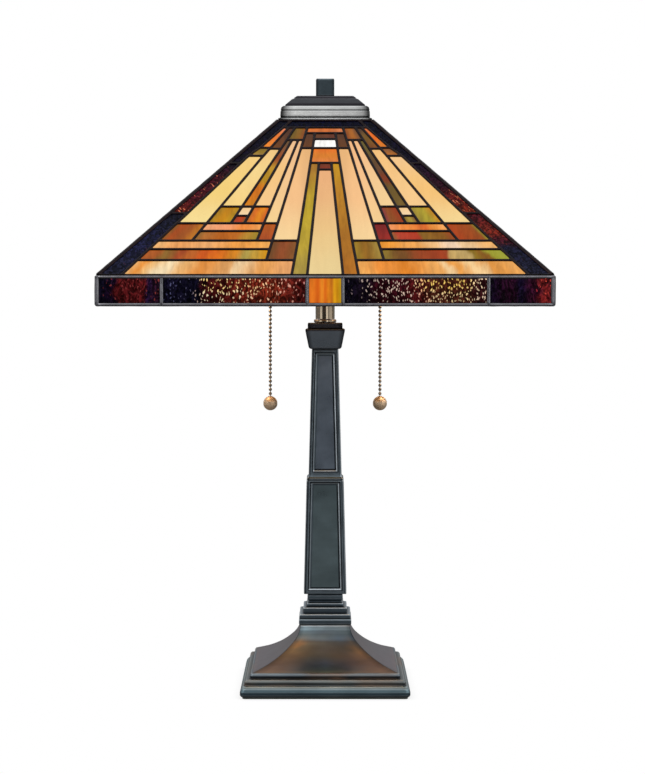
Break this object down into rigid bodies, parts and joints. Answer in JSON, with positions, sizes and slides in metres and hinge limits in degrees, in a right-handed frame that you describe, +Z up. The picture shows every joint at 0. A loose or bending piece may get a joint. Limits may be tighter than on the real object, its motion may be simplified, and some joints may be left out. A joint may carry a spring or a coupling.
{
  "type": "stained glass table lamp",
  "caption": "Mission style table lamp: square stepped bronze base and tapered column, sloping four-sided leaded glass shade with a skirt, square cap and finial, pull chains.",
  "frame": {"origin": "middle of the underside of the felt on the square base, on the surface the lamp stands on", "axes": "+Z up along the column; -Y is the front face of base and shade; the pull chains hang at -X and +X"},
  "size_m": [0.3992, 0.3992, 0.5844],
  "materials": {
    "bronze": "dark bronze patina, satin",
    "dark_bronze": "dark bronze, satin",
    "brass": "antique brass, polished high spots",
    "steel": "zinc plated",
    "iron": "raw casting",
    "felt": "felt",
    "plastic": "moulded, matte",
    "screw_shell": "rolled thread",
    "bulb_glass": "frosted",
    "art_glass": "streaky opalescent sheet glass",
    "ripple_glass": "rippled dark red and brown sheet glass",
    "lead": "patinated solder over copper foil",
    "rim_metal": "dull grey solder over a wire rim"
  },
  "bodies": {
    "stand": {"felt_pad": "felt", "base_casting": "bronze", "base_weight": "iron", "pipe_washer": "steel", "pipe_nut": "steel", "lamp_pipe": "steel", "cord_bushing": "plastic", "stepped_collar": "bronze", "lower_column": "bronze", "upper_column": "bronze", "column_capital": "bronze", "neck_ring": "brass", "neck_tube": "brass", "cluster_body": "brass", "socket_cap_left": "brass", "socket_cap_right": "brass", "socket_shell_left": "brass", "socket_shell_right": "brass", "socket_interior_left": "plastic", "socket_interior_right": "plastic", "socket_screw_left": "screw_shell", "socket_screw_right": "screw_shell", "chain_bell_left": "brass", "chain_bell_right": "brass", "riser_rod": "steel", "seat_nut": "steel", "seat_washer": "steel"},
    "shade": {"shade_cap": "dark_bronze", "glass_panel_front": "art_glass", "glass_panel_right": "art_glass", "glass_panel_back": "art_glass", "glass_panel_left": "art_glass", "lead_lattice_front": "lead", "lead_lattice_right": "lead", "lead_lattice_back": "lead", "lead_lattice_left": "lead", "skirt_glass_front": "ripple_glass", "skirt_glass_right": "ripple_glass", "skirt_glass_back": "ripple_glass", "skirt_glass_left": "ripple_glass", "hip_came_front_right": "lead", "hip_came_right_back": "lead", "hip_came_back_left": "lead", "hip_came_left_front": "lead", "skirt_top_rim": "rim_metal", "skirt_bottom_rim": "rim_metal"},
    "finial": {"finial": "dark_bronze"},
    "bulb_left": {"bulb_base_left": "screw_shell", "bulb_glass_left": "bulb_glass"},
    "pull_stem_left": {"pull_stem_left": "brass"},
    "pull_link_left": {"pull_coupling_left": "brass"},
    "pull_chain_left": {"pull_chain_left": "brass", "pull_ball_left": "brass"},
    "bulb_right": {"bulb_base_right": "screw_shell", "bulb_glass_right": "bulb_glass"},
    "pull_stem_right": {"pull_stem_right": "brass"},
    "pull_link_right": {"pull_coupling_right": "brass"},
    "pull_chain_right": {"pull_chain_right": "brass", "pull_ball_right": "brass"}
  },
  "joints": [
    {"name": "shade_turn", "type": "hinge", "parent": "stand", "child": "shade", "pos_m": [0, 0, 0.5656], "axis": [0, 0, 1], "continuous": true},
    {"name": "finial_turn", "type": "hinge", "parent": "stand", "child": "finial", "pos_m": [0, 0, 0.575], "axis": [0, 0, 1], "continuous": true},
    {"name": "bulb_left_turn", "type": "hinge", "parent": "stand", "child": "bulb_left", "pos_m": [-0.07, 0, 0.41], "axis": [-1, 0, 0], "continuous": true},
    {"name": "pull_left_slide", "type": "slide", "parent": "stand", "child": "pull_stem_left", "axis": [0, 0, -1], "range_m": [0, 0.011], "stiffness_N_per_m": 400, "springref_m": -0.004},
    {"name": "pull_left_sway", "type": "hinge", "parent": "pull_stem_left", "child": "pull_link_left", "pos_m": [-0.053, 0, 0.3834], "axis": [0, 1, 0], "range_deg": [-12, 40]},
    {"name": "pull_left_swing", "type": "hinge", "parent": "pull_link_left", "child": "pull_chain_left", "pos_m": [-0.053, 0, 0.3753], "axis": [1, 0, 0], "range_deg": [-40, 40]},
    {"name": "bulb_right_turn", "type": "hinge", "parent": "stand", "child": "bulb_right", "pos_m": [0.07, 0, 0.41], "axis": [1, 0, 0], "continuous": true},
    {"name": "pull_right_slide", "type": "slide", "parent": "stand", "child": "pull_stem_right", "axis": [0, 0, -1], "range_m": [0, 0.011], "stiffness_N_per_m": 400, "springref_m": -0.004},
    {"name": "pull_right_sway", "type": "hinge", "parent": "pull_stem_right", "child": "pull_link_right", "pos_m": [0.053, 0, 0.3834], "axis": [0, -1, 0], "range_deg": [-12, 40]},
    {"name": "pull_right_swing", "type": "hinge", "parent": "pull_link_right", "child": "pull_chain_right", "pos_m": [0.053, 0, 0.3753], "axis": [1, 0, 0], "range_deg": [-40, 40]}
  ]
}
